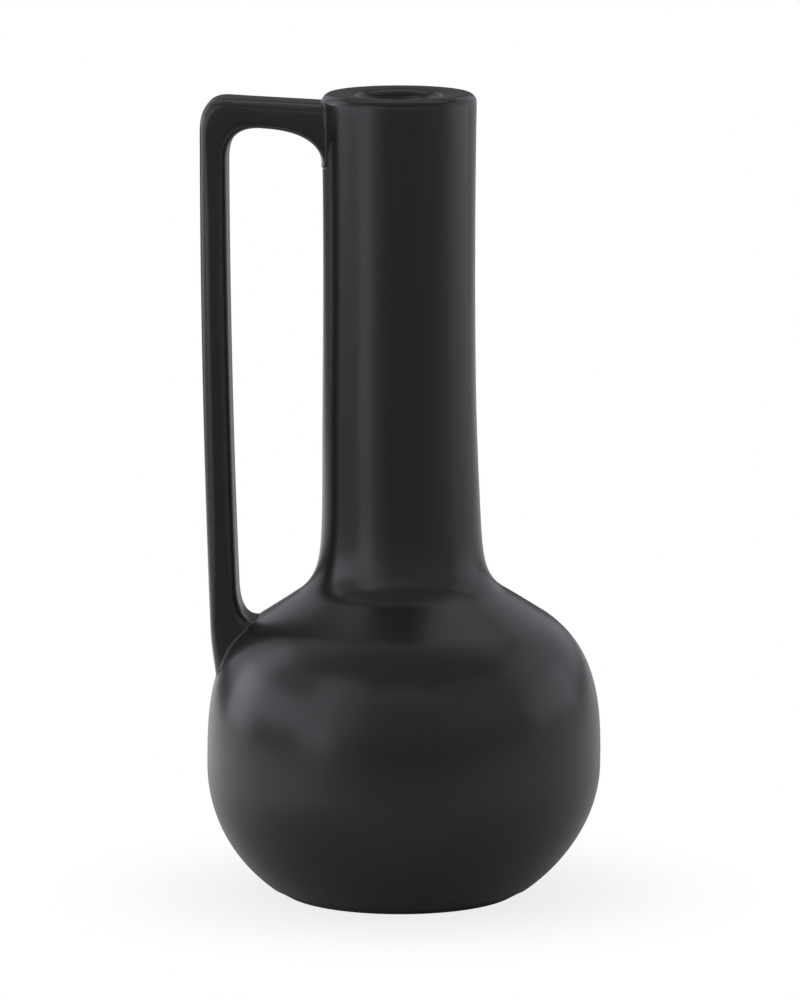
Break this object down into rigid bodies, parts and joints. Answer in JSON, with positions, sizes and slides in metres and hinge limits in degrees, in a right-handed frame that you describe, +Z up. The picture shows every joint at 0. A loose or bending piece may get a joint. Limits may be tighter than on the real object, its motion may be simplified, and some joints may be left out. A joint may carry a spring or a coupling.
{
  "type": "stoneware vase",
  "caption": "Tall bottle vase in satin black stoneware: a round bulb, a long straight neck with a thick narrow lip, and a strap handle from the lip down to the shoulder.",
  "frame": {"origin": "on the vase's turning axis, in the plane of the foot ring's flat underside that stands on the table", "axes": "+Z up along the neck; the strap handle points to -X, in the XZ plane; the front and back are towards -Y and +Y"},
  "size_m": [0.1238, 0.1222, 0.25],
  "materials": {
    "black_glaze": "satin-matt black glaze over stoneware",
    "bare_clay": "unglazed fired stoneware, fine and dry",
    "fired_slip": "fired joining slip, glazed over where it shows"
  },
  "bodies": {
    "root": {"foot_ring": "bare_clay", "bulb": "black_glaze", "neck_slip_joint": "fired_slip", "neck": "black_glaze", "handle": "black_glaze", "handle_top_slip_joint": "fired_slip", "handle_foot_slip_joint": "fired_slip"}
  },
  "joints": []
}
